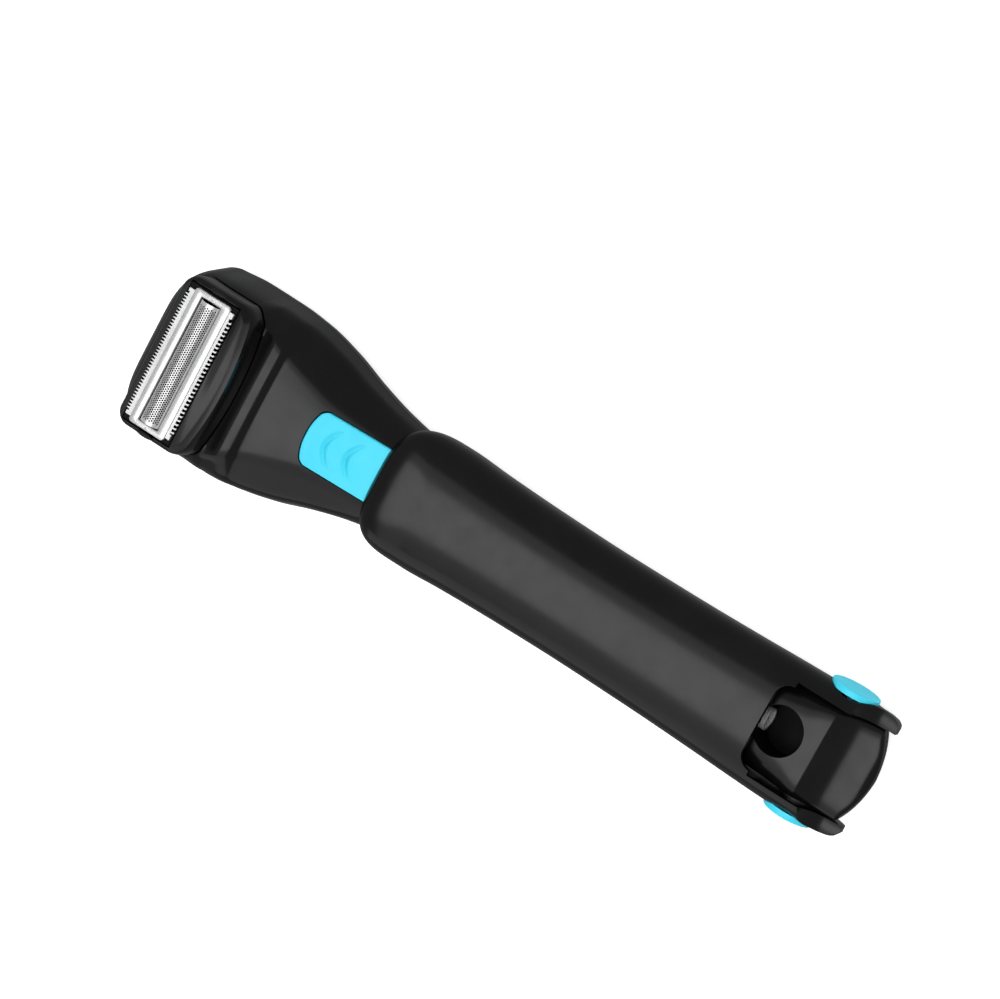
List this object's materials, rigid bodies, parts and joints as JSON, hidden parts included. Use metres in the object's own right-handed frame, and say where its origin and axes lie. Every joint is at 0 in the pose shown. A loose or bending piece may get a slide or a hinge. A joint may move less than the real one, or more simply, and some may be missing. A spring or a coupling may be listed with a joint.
{
  "type": "folding body groomer",
  "caption": "Body groomer with a raised foil and trimmer head, slide switch, and a channel handle that folds over the neck on a push-button hinge.",
  "frame": {"origin": "middle of the folded groomer's bounding box, on the flat rear face it rests on", "axes": "+X along the body from the cutting head to the hinge, +Z out of the foil side, +Y across the body to the right button"},
  "size_m": [0.2188, 0.0498, 0.0346],
  "materials": {
    "black_gloss": "polished black ABS with broad soft reflections",
    "black_matte": "fine moulded texture",
    "blue_plastic": "satin bright cyan-blue moulding",
    "bright_steel": "bright stamped stainless",
    "steel": "plain steel",
    "brass": "turned brass",
    "white_plastic": "natural acetal",
    "green_board": "solder mask over glass-fibre board",
    "cell_wrap": "shrink-wrapped can",
    "rubber": "soft matte"
  },
  "bodies": {
    "body": {"front_shell": "black_gloss", "rear_shell": "black_gloss", "screw_head_left": "steel", "screw_head_right": "steel", "screw_neck": "steel", "screw_tail": "steel", "head_deck": "black_matte", "drive_seal": "rubber", "lever_pin": "steel", "motor_can": "steel", "motor_end_cap": "black_matte", "motor_bracket": "black_matte", "switch_rail": "black_matte", "pcb": "green_board", "cell": "cell_wrap", "contact_negative": "steel", "contact_positive": "steel", "charge_board": "green_board", "socket_cup": "black_matte", "jack_ring": "steel", "jack_pin": "brass", "lock_ring_left": "steel", "lock_ring_right": "steel"},
    "folding_handle": {"handle": "black_gloss", "hinge_pin_left": "steel", "hinge_pin_right": "steel", "button_spring_left": "steel", "button_spring_right": "steel"},
    "left_button": {"release_button_left": "blue_plastic"},
    "right_button": {"release_button_right": "blue_plastic"},
    "head_unit": {"head_casing": "black_gloss", "end_pad_left": "black_matte", "end_pad_right": "black_matte", "foil_holder": "black_matte", "foil_frame": "bright_steel", "foil": "bright_steel", "comb_head_side": "bright_steel", "comb_tail_side": "bright_steel"},
    "cutters": {"cutter_carrier": "white_plastic", "foil_cutter": "steel", "blade_head_side": "steel", "blade_tail_side": "steel", "cutter_spring_left": "steel", "cutter_spring_right": "steel"},
    "lever": {"drive_lever": "white_plastic"},
    "rotor": {"motor_shaft": "steel", "eccentric_cam": "brass"},
    "switch": {"slide_switch": "blue_plastic", "switch_contact": "brass"}
  },
  "joints": [
    {"name": "handle_fold", "type": "hinge", "parent": "body", "child": "folding_handle", "pos_m": [0.095, 0, 0.0105], "axis": [0, 1, 0], "range_deg": [0, 180]},
    {"name": "release_left", "type": "slide", "parent": "folding_handle", "child": "left_button", "axis": [0, 1, 0], "range_m": [0, 0.0012], "stiffness_N_per_m": 400},
    {"name": "release_right", "type": "slide", "parent": "folding_handle", "child": "right_button", "axis": [0, -1, 0], "range_m": [0, 0.0012], "stiffness_N_per_m": 400},
    {"name": "switch_slide", "type": "slide", "parent": "body", "child": "switch", "axis": [0.9931, 0, -0.1172], "range_m": [0, 0.0035]},
    {"name": "head_lift", "type": "slide", "parent": "body", "child": "head_unit", "axis": [0, 0, 1], "range_m": [0, 0.015]},
    {"name": "cutter_slide", "type": "slide", "parent": "head_unit", "child": "cutters", "axis": [0, 1, 0], "range_m": [-0.0009, 0.0009]},
    {"name": "lever_swing", "type": "hinge", "parent": "body", "child": "lever", "pos_m": [-0.0913, 0, 0.005], "axis": [1, 0, 0], "range_deg": [-2.6, 2.6]},
    {"name": "motor_spin", "type": "hinge", "parent": "body", "child": "rotor", "pos_m": [-0.0883, 0, 0.0105], "axis": [1, 0, 0], "continuous": true}
  ],
  "couplings": [
    {"joint": "lever_swing", "follows": "cutter_slide", "rad_per_m": -44.74}
  ]
}
